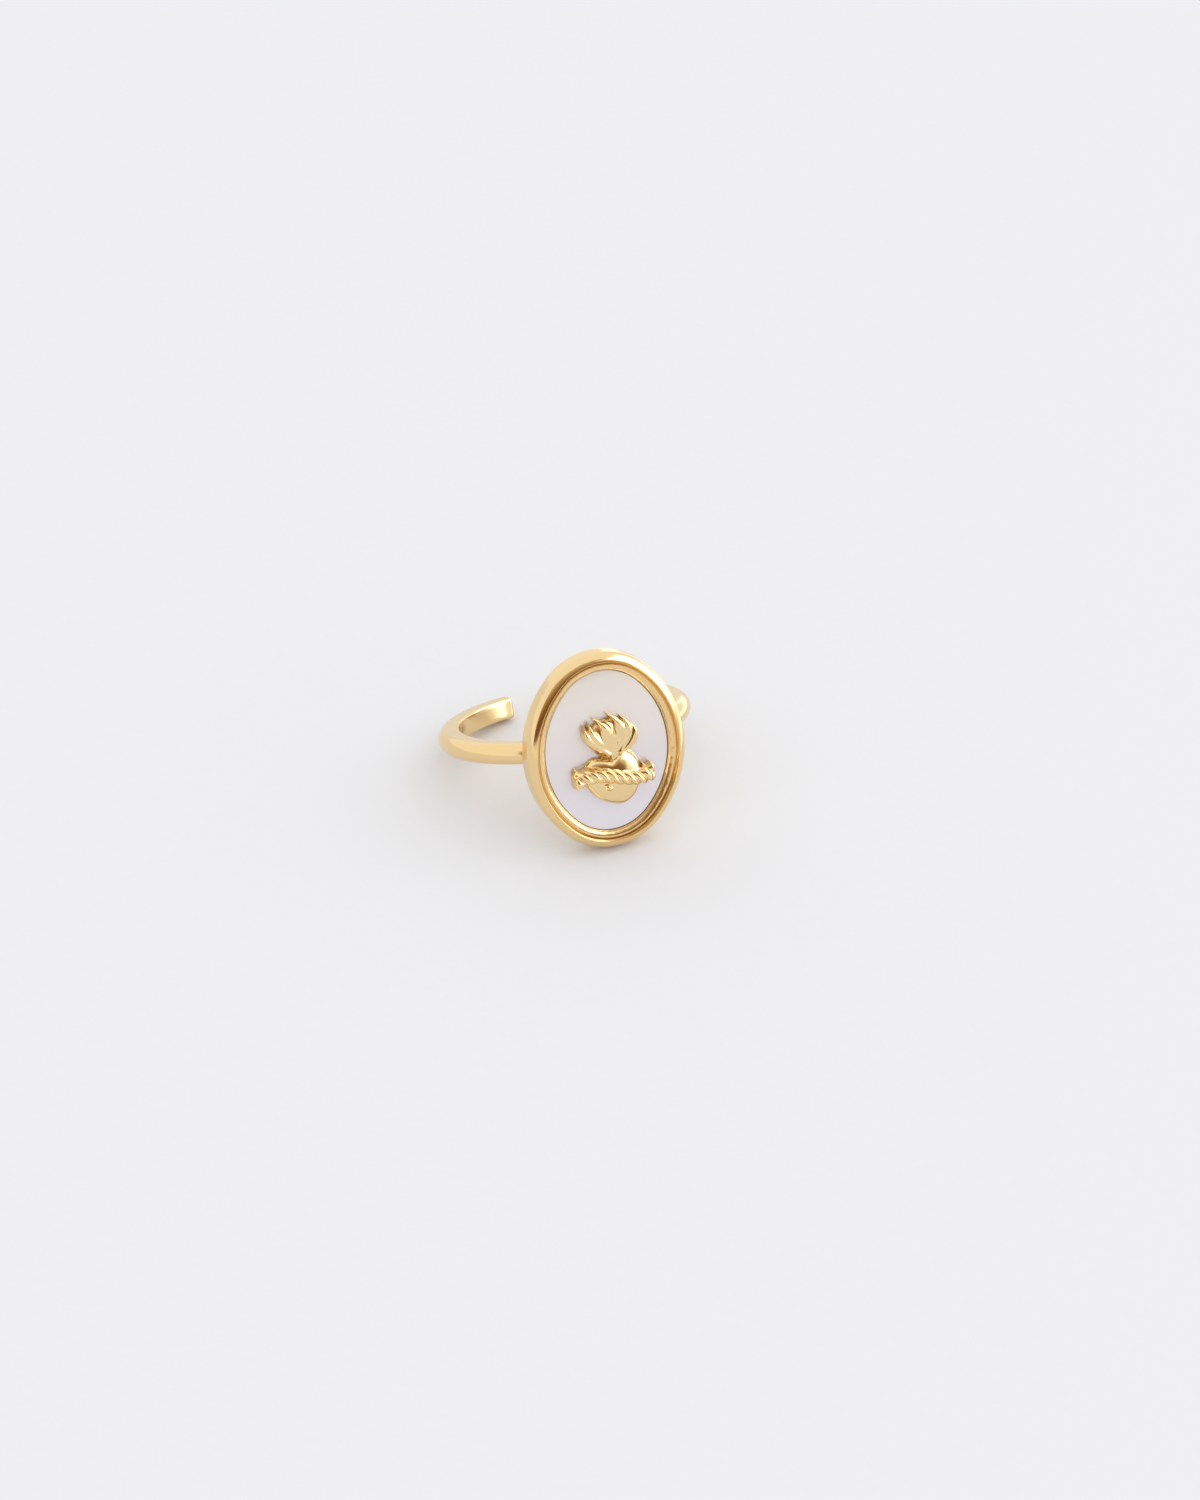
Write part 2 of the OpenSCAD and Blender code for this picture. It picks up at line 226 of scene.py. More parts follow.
def polishedMotherOfPearl(facePlace):
    material, tree = newMaterial("polishedMotherOfPearl")
    ringSpace = addNode(tree, "ShaderNodeTexCoord", {}).outputs["Object"]
    # from there to the face's own frame: x to the right, y up the face
    place = addNode(tree, "ShaderNodeMapping", {
        "Vector": ringSpace, "Location": facePlace.translation, "Rotation": facePlace.to_euler()},
        vector_type="TEXTURE").outputs["Vector"]
    # painted light: the colour follows the height up the face, lighter and creamier towards the top
    upFace = addNode(tree, "ShaderNodeSeparateXYZ", {"Vector": place}).outputs["Y"]
    height = addNode(tree, "ShaderNodeMapRange", {
        "Value": upFace,
        "From Min": -nacre["faceHalfHeight"] * mm, "From Max": nacre["faceHalfHeight"] * mm})
    paintedLightTint = addNode(tree, "ShaderNodeValToRGB", {"Fac": height.outputs["Result"]})
    setStops(paintedLightTint, nacre["paintedLightTints"])
    stretch = addNode(tree, "ShaderNodeMapping", {"Vector": place, "Scale": nacre["cloudStretch"]})
    clouds = addNode(tree, "ShaderNodeTexNoise", {
        "Vector": stretch.outputs["Vector"], "Scale": 1 / (nacre["cloudSpacing"] * mm), "Detail": 3.0})
    share = addNode(tree, "ShaderNodeMath", {
        0: clouds.outputs["Fac"], 1: nacre["cloudShare"]}, operation="MULTIPLY")
    colour = addNode(tree, "ShaderNodeMix", {
        0: share.outputs["Value"], 6: paintedLightTint.outputs["Color"], 7: linear(nacre["cloud"])}, data_type="RGBA")
    shader = addNode(tree, "ShaderNodeBsdfPrincipled", {
        "Base Color": colour.outputs[2], "Metallic": nacre["lustre"], "Roughness": nacre["roughness"],
        "Coat Weight": 1.0, "Coat Roughness": nacre["glossRoughness"],
        "Coat IOR": nacre["glossIor"]})
    addNode(tree, "ShaderNodeOutputMaterial", {"Surface": shader.outputs["BSDF"]})
    return material


# Matt white paint on a board, under the ring. It shows no shine at all, only a grain just coarse
# enough to keep it from looking like plain paper.
board = {"colour": "#E9E9EB", "grain": "#E7E7EA", "grainSpacing": 0.8, "roughness": 0.75}


def paintedBoard():
    material, tree = newMaterial("mattPaintedBoard")
    place = addNode(tree, "ShaderNodeTexCoord", {}).outputs["Object"]
    grain = addNode(tree, "ShaderNodeTexNoise", {
        "Vector": place, "Scale": 1 / (board["grainSpacing"] * mm), "Detail": 2.0})
    colour = addNode(tree, "ShaderNodeMix", {
        0: grain.outputs["Fac"], 6: linear(board["colour"]), 7: linear(board["grain"])}, data_type="RGBA")
    shader = addNode(tree, "ShaderNodeBsdfPrincipled", {
        "Base Color": colour.outputs[2], "Roughness": board["roughness"], "Specular IOR Level": 0.0})
    addNode(tree, "ShaderNodeOutputMaterial", {"Surface": shader.outputs["BSDF"]})
    return material


goldPlating = goldPlatingFinish(
    "buffedGoldPlating", plating["roughness"], plating["waveSpacing"], plating["waveHeight"])
goldCollar = goldPlatingFinish(
    "burnishedGoldPlating", plating["collarRoughness"], plating["dimpleSpacing"], plating["dimpleHeight"])
goldCasting = tumbledGoldCasting()
print("metals made")


# How the ring lies: its finger hole's place and axis come from the frame

fingerHole = frame["record"]["mounts"][0]
tip = math.atan2(fingerHole["axis"][1], fingerHole["axis"][2])
ringPlace = Matrix.Translation(fingerHole["pos_m"]) @ Matrix.Rotation(-tip, 4, "X")
print("frame: the ring is tipped by %.2f degrees" % math.degrees(tip))


# Band: a half-round wire with a flat inside, bent to an open ring with rounded free ends

band = {
    "boreRadius": 8.5,
    "thickness": 1.85,
    "width": 1.7,
    "innerEdgeRadius": 0.2,
    "halfGap": 11.0,           # degrees, from the middle of the gap to a free end
    "endRounding": 0.22,
    "endSections": 7,          # over each rounded end
    "sections": 420,
    "outsideSteps": 40,
    "edgeSteps": 8,
    "sideShares": (0.3, 0.6, 0.9),             # where the section has points along its sides
    "insideShares": (0.6, 0.2, -0.2, -0.6),    # and along its flat inside
    "seat": 0.4,               # how deep the band runs into the head's back plate
    "sharpAngle": 40,          # edges that turn by more degrees stay sharp
}


def bandSection():
    # closed outline as (radius, along the finger): rounded outside, then the flat inside
    halfWidth = band["width"] / 2
    middle = band["boreRadius"] + band["thickness"] - halfWidth
    edge = band["innerEdgeRadius"]
    corner = band["boreRadius"] + edge
    outline = arc((middle, 0), halfWidth, -90, 90, band["outsideSteps"])
    outline += [(middle + (corner - middle) * t, halfWidth) for t in band["sideShares"]]
    outline += arc((corner, halfWidth - edge), edge, 90, 180, band["edgeSteps"])
    outline += [(band["boreRadius"], (halfWidth - edge) * t) for t in band["insideShares"]]
    outline += arc((corner, edge - halfWidth), edge, 180, 270, band["edgeSteps"])
    outline += [(middle + (corner - middle) * t, -halfWidth) for t in reversed(band["sideShares"])]
    return np.array(outline)


def shrunk(outline, distance):
    # every point moves inwards by the distance, square to the outline
    along = np.roll(outline, -1, 0) - np.roll(outline, 1, 0)
    inward = np.stack([-along[:, 1], along[:, 0]], 1)
    return outline + distance * inward / np.linalg.norm(inward, axis=1)[:, None]


def makeBand():
    section = bandSection()
    middle = section.mean(0)
    rounding = band["endRounding"]
    endTurn = math.degrees(rounding / middle[0])
    span = 360 - 2 * band["halfGap"]
    rings = []
    for a in np.linspace(0, 90, band["endSections"]):      # the free end rounds off from its face
        inset = rounding * (1 - math.sin(math.radians(a)))
        rings.append((endTurn * (1 - math.cos(math.radians(a))), shrunk(section, inset)))
    for turn in np.linspace(endTurn, span - endTurn, band["sections"])[1:-1]:
        rings.append((turn, section))
    rings += [(span - turn, outline) for turn, outline in reversed(rings[:band["endSections"]])]
    points = []
    for turn, outline in rings:
        a = math.radians(90 + band["halfGap"] + turn)
        points += [(r * math.cos(a), r * math.sin(a), z) for r, z in outline]
    size = len(section)
    faces = skinSections(len(rings), size, False, True)
    faces += [tuple(range(size)), tuple(range(len(points) - size, len(points)))]
    piece = makePiece("band_blank", points, faces, ringPlace, goldPlating, band["sharpAngle"])
    # the part that would stand in the head is cut away, up to its seat in the back plate
    cut = bmesh.new()
    cut.from_mesh(piece.data)
    bmesh.ops.bisect_plane(cut, geom=cut.verts[:] + cut.edges[:] + cut.faces[:], dist=1e-7,
                           plane_co=headPlace @ Vector((0, 0, band["seat"] * mm)),
                           plane_no=headPlace.to_3x3() @ Vector((0, 0, 1)), clear_outer=True)
    bmesh.ops.holes_fill(cut, edges=[e for e in cut.edges if e.is_boundary], sides=0)
    bmesh.ops.recalc_face_normals(cut, faces=cut.faces)
    cut.to_mesh(piece.data)
    cut.free()
    return piece


# Head: an oval box soldered on the band, with a rounded rim and a lower collar inside it

head = {
    "width": 13.2,
    "height": 16.2,
    "thickness": 2.3,
    "endRadius": 5.5,          # of the arcs at the oval's two ends
    "clearance": 0.1,          # from the finger hole to the flat back
    "drop": 0.3,
    "lean": 6.0,
    "rimWidth": 1.45,
    "rimRadius": 0.82,         # of the rim's rounded outside
    "ridge": 0.66,             # where the rim is highest, measured in from the outline
    "ridgeRadius": 0.04,
    "groove": (0.86, 1.86),    # bottom of the groove between rim and collar: in from the outline, height
    "grooveRadius": 0.03,
    "collar": (1.0, 2.05),     # top of the collar that was pressed over the inlay's edge
    "collarStart": 0.93,
    "collarRadius": 0.45,
    "backEdgeRadius": 0.5,
    "inlayDepth": 0.6,
    "inlayThickness": 0.58,
    "inlayGap": 0.03,
    "glue": 0.02,
    # filing marks near the outer edge, up on the left: first and last angle round the end arc
    "filing": (74, 106),
    "filingSpacing": 4.2,      # degrees
    "filingDepth": 0.010,
    "filedSteps": 22,          # of the rim's steps, from the outline
    "joinAngle": 3,            # degrees that rim and collar stop short, for the corners' roundings
    "sideSteps": 130,
    "endSteps": 170,
    "backEdgeSteps": 12,
    "wallShares": (0.2, 0.4, 0.6, 0.8),        # where the section has points up its outer wall
    "innerWallPoint": 0.3,     # and over the floor, on the wall round the inlay
    "rimSteps": 40,
    "collarSteps": 30,
    "cornerSteps": 6,
    "sharpAngle": 35,          # edges that turn by more degrees stay sharp
}
headPlace = (ringPlace
             @ Matrix.Translation((0, -(band["boreRadius"] + head["clearance"]) * mm, -head["drop"] * mm))
             @ Matrix.Rotation(math.radians(head["lean"] + 90), 4, "X"))
inlayFace = head["thickness"] - head["inlayDepth"]
inlayFloor = inlayFace - head["inlayThickness"] - head["glue"]


def ovalLine():
    # points, outward normals and angles round an oval of four arcs that meet tangentially
    halfWidth, halfHeight, endRadius = head["width"] / 2, head["height"] / 2, head["endRadius"]
    sideRadius = ((halfWidth ** 2 + halfHeight ** 2 - 2 * halfHeight * endRadius)
                  / (2 * (halfWidth - endRadius)))
    sideMiddle, endMiddle = sideRadius - halfWidth, halfHeight - endRadius
    sideAngle = math.degrees(math.atan2(endMiddle, sideMiddle))
    line = []
    for side in (0, 180):
        turn = Matrix.Rotation(math.radians(side), 3, "Z")
        for centre, radius, start, end, steps in (
                ((-sideMiddle, 0, 0), sideRadius, -sideAngle, sideAngle, head["sideSteps"]),
                ((0, endMiddle, 0), endRadius, sideAngle, 180 - sideAngle, head["endSteps"])):
            for degrees in np.linspace(start, end, steps, endpoint=False):
                a = math.radians(degrees)
                normal = Vector((math.cos(a), math.sin(a), 0))
                line.append((turn @ (Vector(centre) + radius * normal), turn @ normal, side + degrees))
    return line


def roundedCorner(before, corner, after, radius):
    # an arc of that radius that takes the place of a corner between two straight runs
    corner, sides = Vector(corner), [(Vector(p) - Vector(corner)).normalized() for p in (before, after)]
    half = sides[0].angle(sides[1]) / 2
    middle = corner + (sides[0] + sides[1]).normalized() * radius / math.sin(half)
    first, last = (corner + side * radius / math.tan(half) for side in sides)
    points = []
    for t in np.linspace(0, 1, head["cornerSteps"] + 1):
        away = (first - middle).lerp(last - middle, t)
        points.append(tuple(middle + away.normalized() * radius))
    return points


def bezelSection():
    # open outline from the flat back round the rim to the floor, each point with its distance in from
    # the oval, its height, and how much the file marked it; with it the collar's first and last point
    rim, back, wall, top = head["rimRadius"], head["backEdgeRadius"], head["rimWidth"], head["thickness"]
    rimMiddle = top - math.sqrt(rim ** 2 - (rim - head["ridge"]) ** 2)
    ridgeAngle = math.degrees(math.acos((head["ridge"] - rim) / rim))
    collarX, collarTop = head["collar"]
    collarRadius = head["collarRadius"]
    startAngle = math.degrees(math.acos((head["collarStart"] - collarX) / collarRadius))
    outline = [(*p, 0) for p in arc((back, back), back, 270, 180, head["backEdgeSteps"])]
    outline += [(0, back + (rimMiddle - back) * t, 0) for t in head["wallShares"]]
    bead = arc((rim, rimMiddle), rim, 180, ridgeAngle + head["joinAngle"], head["rimSteps"])
    outline += [(*p, math.sin(math.pi * min(k / head["filedSteps"], 1)) ** 2) for k, p in enumerate(bead)]
    collar = arc((collarX, collarTop - collarRadius), collarRadius,
                 startAngle - head["joinAngle"], 0, head["collarSteps"])
    ridge, collarStart = (head["ridge"], top), (head["collarStart"], collar[0][1])
    for before, corner, after, radius in (
            (bead[-1], ridge, head["groove"], head["ridgeRadius"]),
            (ridge, head["groove"], collarStart, head["grooveRadius"]),
            (head["groove"], collarStart, collar[1], head["grooveRadius"])):
        outline += [(*p, 0) for p in roundedCorner(before, corner, after, radius)]
    collarSpan = (len(outline) - 2, len(outline) + len(collar) - 2)
    outline += [(*p, 0) for p in collar[1:]]
    outline += [(wall, inlayFloor + head["innerWallPoint"], 0), (wall, inlayFloor, 0)]
    return outline, collarSpan


def makeBezel():
    line, (section, collarSpan) = ovalLine(), bezelSection()
    filingStart, filingEnd = head["filing"]
    points = []
    for p, n, degrees in line:
        along = min(max((degrees - filingStart) / (filingEnd - filingStart), 0), 1)
        file = math.sin(math.pi * along) * math.sin(2 * math.pi * degrees / head["filingSpacing"])
        for inset, height, fileShare in section:
            dent = head["filingDepth"] * file * fileShare
            points.append(p - n * (inset + dent) + Vector((0, 0, height - dent)))
    size = len(section)
    piece = makePiece("band_and_bezel_polished", points, skinOval(len(line), size), headPlace,
                      goldPlating, head["sharpAngle"])
    piece.data.materials.append(goldCollar)
    for k, face in enumerate(piece.data.polygons[:len(line) * (size - 1)]):
        if collarSpan[0] <= k % (size - 1) < collarSpan[1]:
            face.material_index = 1
    return piece


bezelPiece = makeBezel()
bandPiece = makeBand()
solder = bezelPiece.modifiers.new("solder", "BOOLEAN")
solder.operation, solder.solver, solder.object = "UNION", "EXACT", bandPiece
bakeModifiers(bezelPiece)
bpy.data.objects.remove(bandPiece)
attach(bezelPiece, "root")
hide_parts("band_and_bezel")
print("band and bezel made: %d faces" % len(bezelPiece.data.polygons))


# Inlay: a flat oval plate with softened edges

inlay = {
    "edgeRounding": 0.06,
    "edgeSteps": 5,
    "sharpAngle": 35,          # edges that turn by more degrees stay sharp
}


def makeInlay():
    inset = head["rimWidth"] + head["inlayGap"]
    soft = inlay["edgeRounding"]
    low, high = inlayFloor + head["glue"], inlayFace
    section = arc((inset + soft, low + soft), soft, 270, 180, inlay["edgeSteps"])
    section += arc((inset + soft, high - soft), soft, 180, 90, inlay["edgeSteps"])
    line = ovalLine()
    points = [p - n * d + Vector((0, 0, height)) for p, n, _ in line for d, height in section]
    return makePiece("shell_inlay_polished", points, skinOval(len(line), len(section)), headPlace,
                     motherOfPearl, inlay["sharpAngle"])


motherOfPearl = polishedMotherOfPearl(headPlace)
inlayPiece = makeInlay()
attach(inlayPiece, "root")
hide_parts("shell_inlay")
print("inlay made")


# Flaming heart: a relief of heights over the inlay's face, x to the right and y up from the middle
# of the head. Its forms are domes over shapes, and the highest one at a point gives the height.

relief = {
    "edge": 0.22,              # thickness at the outline
    "heartHeight": 1.15,
    "lobeBlend": 0.4,          # how softly the lobes flow into each other
    "lobeTrim": 0.06,          # and what that adds to their size, taken off again
    # the heart's two lobes: middle, half length, half width, direction of the length
    "lobes": [((-0.48, -2.31), 2.20, 1.54, -52), ((1.04, -2.26), 2.27, 1.44, -101)],
    "body": ((0.28, -2.35), 2.6, 2.45, 0),      # the one wide dome that both lobes share
    "bodyRounding": 0.42,      # how far in, as a share, the heart rounds off towards its outline
    "drop": ((-0.50, -2.72), 0.36, 0.2, -42),
    "dropHeight": 0.22,
    # middle line of the bulb under the flames: x, y, half width, height
    "bulb": [(0.38, -0.46, 0.52, 0.72), (0.32, 0.08, 0.86, 0.80), (0.16, 0.66, 1.26, 0.86),
             (0.02, 1.16, 1.55, 0.88), (-0.04, 1.54, 1.16, 0.82)],
    # a flame: where it starts, two points that it bends towards, its tip and its width
    "flames": [((-0.02, -0.12), (-0.92, 0.66), (-2.05, 1.40), (-1.78, 2.46), 0.95),
               ((-0.35, 0.52), (-0.72, 1.00), (-1.45, 1.50), (-1.42, 2.72), 0.95),
               ((0.10, 0.50), (-0.62, 1.50), (0.62, 1.74), (-1.00, 2.96), 1.15),
               ((0.66, 0.30), (1.22, 1.25), (1.58, 1.92), (0.20, 3.16), 1.15),
               ((0.86, -0.05), (1.50, 0.95), (2.20, 1.72), (1.30, 2.72), 0.95),
               ((0.86, -0.14), (1.70, 0.30), (2.66, 1.16), (1.98, 2.12), 0.95)],
    "flameRadius": 0.44,
    "flameSwell": (1.08, 32, 122),             # its width follows a sine: factor, first angle, span
    "flameTaper": 0.76,        # how much narrower it ends
    "flameHeight": 0.86,       # at its foot
    "flameRise": 0.24,         # more towards the tip
    "flameFall": 0.5,          # how far the tip itself drops
    "flameSag": 0.26,          # how much lower a flame is along its sides
    "flameEdge": 5,            # the steeper, the narrower its rounded edge
    "flameSteps": 24,
    "crownLength": 6.8,
    "crownMiddle": 0.2,        # x of it
    "crownLine": (-1.95, -1.0, -0.12, 0.78),   # y of its middle line, a cubic curve of the place along it
    "crownLow": 0.46,          # height of its ends
    "crownRise": 0.62,         # how much higher its middle lies, over the heart
    "crownFlatness": 2.6,      # the greater, the flatter that middle
    "crownTurns": 2.8,
    "strands": (7, 127, 247),  # where each strand starts its turns, in degrees
    "strandRadius": 0.31,
    "strandOff": 0.28,         # how far a strand winds away from the crown's middle line
    "endSpread": 0.11,         # what that gains towards the crown's ends
    "endSwell": 0.09,          # and what the strand's radius gains there
    "endBluntness": 1.6,       # the greater, the shorter the strand's rounded end
    "strandWeave": 0.85,       # how far it goes up and down, as a share of how far it goes aside
    "strandShoulder": 3,       # the steeper, the narrower its rounding towards the outline
    # a thorn: where along the crown, which way, and its length as a multiple of thornLength
    "thorns": [(-0.88, 118, 0.9), (-0.60, 112, 0.4), (0.70, 122, 0.6), (0.92, 112, 1.0), (-0.96, 215, 0.2),
               (-0.30, 262, 0.4), (0.20, 290, 0.7), (0.74, 280, 0.4), (0.97, 300, 0.4)],
    "thornLength": 0.62,
    "thornStart": 0.3,         # what its way through the strand adds to that
    "thornRoot": (0.24, 0.2),  # radius, and height over the crown's middle line
    "thornTip": (0.08, -0.1),
    "thornLow": 0.3,           # its tip comes no lower
    "gridStep": 0.035,
    "cornerShare": 0.2,        # of a cell's side, which the outline keeps off the cell's corners
    "lowCorner": (-3.6, -4.8),
    "highCorner": (4.0, 3.4),
    "creaseRadius": 0.035,     # how far the forms melt into each other, as in a casting
    "gapRadius": 0.06,         # how near, as a share of their size, forms must come to run together
    "castSoftening": (0.5, 8),                 # strength, and rounds of smoothing
    "sharpAngle": 60,          # edges that turn by more degrees stay sharp
}


def dome(inside, top):
    return relief["edge"] + (top - relief["edge"]) * np.sqrt(np.clip(inside, 0, 1))


def insideLobe(x, y, lobe):
    (middleX, middleY), halfLength, halfWidth, direction = lobe
    a = math.radians(direction)
    dx, dy = x - middleX, y - middleY
    along, across = dx * math.cos(a) + dy * math.sin(a), dy * math.cos(a) - dx * math.sin(a)
    return 1 - (along / halfLength) ** 2 - (across / halfWidth) ** 2


def heartForm(x, y):
    left, right = (insideLobe(x, y, lobe) for lobe in relief["lobes"])
    inside = (left + right + np.hypot(left - right, relief["lobeBlend"])) / 2 - relief["lobeTrim"]
    drop = relief["dropHeight"] * np.sqrt(np.clip(insideLobe(x, y, relief["drop"]), 0, 1))
    rounded = np.clip(inside / relief["bodyRounding"], 0, 1)
    swell = np.clip(insideLobe(x, y, relief["body"]), 0, 1)
    return inside, dome(swell * rounded * (2 - rounded), relief["heartHeight"]) + drop


def ribForm(x, y, start, end, steepness, sag):
    # between two points of a line, each x, y, half width and height
    runX, runY = end[0] - start[0], end[1] - start[1]
    share = np.clip(((x - start[0]) * runX + (y - start[1]) * runY) / (runX ** 2 + runY ** 2), 0, 1)
    width = start[2] + share * (end[2] - start[2])
    top = start[3] + share * (end[3] - start[3])
    away = np.hypot(x - start[0] - share * runX, y - start[1] - share * runY)
    inside = 1 - (away / width) ** 2
    return inside, dome(steepness * inside, top - sag * (1 - inside))


def flameLine(flame):
    factor, first, span = relief["flameSwell"]
    points = []
    for s in np.linspace(0, 1, relief["flameSteps"] + 1):
        weights = ((1 - s) ** 3, 3 * s * (1 - s) ** 2, 3 * s * s * (1 - s), s ** 3)
        x, y = (sum(w * flame[k][axis] for k, w in enumerate(weights)) for axis in (0, 1))
        # widest a little before its middle, and narrower faster and faster towards its tip
        swell = factor * math.sin(math.radians(first + span * s)) * (1 - relief["flameTaper"] * s ** 5)
        height = relief["flameHeight"] + relief["flameRise"] * s - relief["flameFall"] * s ** 8
        points.append((x, y, relief["flameRadius"] * flame[4] * swell, height))
    return points


def crownPoint(s):
    # middle line of the crown, from one end, s = -1, to the other, s = 1
    half = relief["crownLength"] / 2 - relief["strandRadius"]
    start, slope, bend, twist = relief["crownLine"]
    height = relief["crownLow"] + relief["crownRise"] * (1 - np.abs(s) ** relief["crownFlatness"])
    return relief["crownMiddle"] + half * s, start + slope * s + bend * s * s + twist * s ** 3, height


def strandForm(x, y, phase):
    half = relief["crownLength"] / 2 - relief["strandRadius"]
    s = np.clip((x - relief["crownMiddle"]) / half, -1, 1)
    beyond = np.clip(np.abs(x - relief["crownMiddle"]) - half, 0, None)
    _, middleY, middleZ = crownPoint(s)
    thick = relief["strandRadius"] + relief["endSwell"] * s ** 4
    off = relief["strandOff"] + relief["endSpread"] * s ** 4
    turn = np.radians(180 * relief["crownTurns"] * s + phase)
    slope = off * np.sin(turn) * math.pi * relief["crownTurns"] / half
    aside = y - middleY - off * np.cos(turn)
    inside = 1 - (aside ** 2 / (1 + slope ** 2) + relief["endBluntness"] * beyond ** 2) / thick ** 2
    top = middleZ + relief["strandWeave"] * off * np.sin(turn) + thick * np.sqrt(np.clip(inside, 0, 1))
    shoulder = np.sqrt(np.clip(relief["strandShoulder"] * inside, 0, 1))
    return inside, relief["edge"] + shoulder * np.maximum(top - relief["edge"], 0)


def thornLine(thorn):
    # its root lies in the crown, and it comes down a little towards its tip
    x, y, z = crownPoint(thorn[0])
    (rootRadius, rootHeight), (tipRadius, tipHeight) = relief["thornRoot"], relief["thornTip"]
    reach, a = relief["thornStart"] + thorn[2] * relief["thornLength"], math.radians(thorn[1])
    tipX, tipY = x + reach * math.cos(a), y + reach * math.sin(a)
    return [(x, y, rootRadius, z + rootHeight),
            (tipX, tipY, tipRadius, max(z + tipHeight, relief["thornLow"]))]


def softGreatest(values, radius):
    # the greatest of them, a little more where others come near it
    greatest = values.max(axis=0)
    return greatest + radius * np.log(np.exp((values - greatest) / radius).sum(axis=0))


def reliefField(x, y):
    # how far each point is inside the nearest form, and the height of the highest form there
    forms = [heartForm(x, y)] + [strandForm(x, y, phase) for phase in relief["strands"]]
    lines = [(relief["bulb"], 1, 0)]
    lines += [(flameLine(f), relief["flameEdge"], relief["flameSag"]) for f in relief["flames"]]
    lines += [(thornLine(t), 1, 0) for t in relief["thorns"]]
    for line, steepness, sag in lines:
        ribs = [ribForm(x, y, start, end, steepness, sag) for start, end in zip(line, line[1:])]
        forms.append((np.max([r[0] for r in ribs], axis=0),
                      np.max([np.where(r[0] > 0, r[1], 0) for r in ribs], axis=0)))
    # forms that all but touch run together, so no pinhole stays between them
    inside = softGreatest(np.array([f[0] for f in forms]), relief["gapRadius"])
    height = softGreatest(np.array([np.where(f[0] > 0, f[1], 0) for f in forms]), relief["creaseRadius"])
    return inside, np.maximum(height, relief["edge"])


def makeHeart():
    step = relief["gridStep"]
    (lowX, lowY), (highX, highY) = relief["lowCorner"], relief["highCorner"]
    xs, ys = np.arange(lowX, highX, step), np.arange(lowY, highY, step)
    x, y = np.meshgrid(xs, ys)
    inside, height = reliefField(x, y)
    within = inside > 0
    top, base, faces, walls = [], [], [], []
    index = {}

    def spot(key, px, py, pz):
        # one point of the top skin, with its own point on the flat underside
        if key not in index:
            index[key] = len(top)
            top.append((px, py, pz))
            base.append((px, py, 0.0))
        return index[key]

    def corner(j, i):
        return spot((j, i), xs[i], ys[j], height[j, i])

    def crossing(j, i, nextJ, nextI):
        # where the outline crosses the side of a cell
        first, second = sorted([(j, i), (nextJ, nextI)])
        share = inside[first] / (inside[first] - inside[second])
        share = min(max(share, relief["cornerShare"]), 1 - relief["cornerShare"])
        px = xs[first[1]] + share * (xs[second[1]] - xs[first[1]])
        py = ys[first[0]] + share * (ys[second[0]] - ys[first[0]])
        return spot((first, second), px, py, relief["edge"])

    for j in range(len(ys) - 1):
        for i in range(len(xs) - 1):
            corners = [(j, i), (j, i + 1), (j + 1, i + 1), (j + 1, i)]
            if not any(within[c] for c in corners):
                continue
            cell, crossings = [], []
            for k, here in enumerate(corners):
                there = corners[(k + 1) % 4]
                if within[here]:
                    cell.append(corner(*here))
                if within[here] != within[there]:
                    cell.append(crossing(*here, *there))
                    crossings.append(cell[-1])
            faces.append(cell)
            for k, a in enumerate(cell):
                b = cell[(k + 1) % len(cell)]
                if a in crossings and b in crossings:
                    walls.append((a, b))
    count = len(top)
    underside = [[v + count for v in reversed(cell)] for cell in faces]
    sides = [(b, a, a + count, b + count) for a, b in walls]
    shift = np.array([0, 0, inlayFace + head["glue"]])
    return makePiece("flaming_heart_cast", np.array(top + base) + shift, faces + underside + sides,
                     headPlace, goldCasting, relief["sharpAngle"])


heartPiece = makeHeart()
soften = heartPiece.modifiers.new("castSoftening", "SMOOTH")
soften.factor, soften.iterations = relief["castSoftening"]
bakeModifiers(heartPiece)
heartPiece.data.set_sharp_from_angle(angle=math.radians(relief["sharpAngle"]))
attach(heartPiece, "root")
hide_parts("flaming_heart")
print("flaming heart made: %d faces" % len(heartPiece.data.polygons))


# Studio: a painted board, a bright window on the right, a brown sheet of painted shade behind the camera,
# and the camera

def towards(azimuth, elevation):
    a, e = math.radians(azimuth), math.radians(elevation)
    return Vector((math.sin(a) * math.cos(e), -math.cos(a) * math.cos(e), math.sin(e)))


studio = {
    "floorSize": 4.0,          # metres, as are all sizes and distances here
    "roomLight": 1.04,         # white, from all round
    # the window: a wide soft light from the right
    "windowAzimuth": 62, "windowElevation": 34, "windowDistance": 0.7,
    "windowWidth": 0.80, "windowHeight": 0.55, "windowRadiance": 0.3,
    # its bright panes down to the floor, which only polished surfaces show
    "paneAzimuth": 76, "paneElevation": 26, "paneDistance": 0.65,
    "paneWidth": 0.74, "paneHeight": 0.72, "paneRadiance": 3.4,
    # painted reflection: a glowing card lying on the table, right of the ring, brighter than the table;
    # only polished surfaces show it
    "paintedGleamMiddle": (0.19, 0.11, 0.0003), "paintedGleamWidth": 0.32, "paintedGleamHeight": 0.28,
    "paintedGleamRadiance": 1.7,
    # painted shade: a brown sheet behind the camera, darker towards the floor; only polished surfaces show
    # it
    "shadeSheetAzimuth": -14, "shadeSheetElevation": 38, "shadeSheetDistance": 0.8,
    "shadeSheetWidth": 1.8, "shadeSheetHeight": 0.97, "shadeSheetRoughness": 0.95,
    # painted shade: the sheet's colour from its foot up, darker towards the floor
    "shadeSheetTints": [(0.2, "#7C5229"), (0.45, "#A68459"), (0.9, "#D8C7B4")],
}
ringMiddle = (Vector(cadBox[0]) + Vector(cadBox[1])) / 2


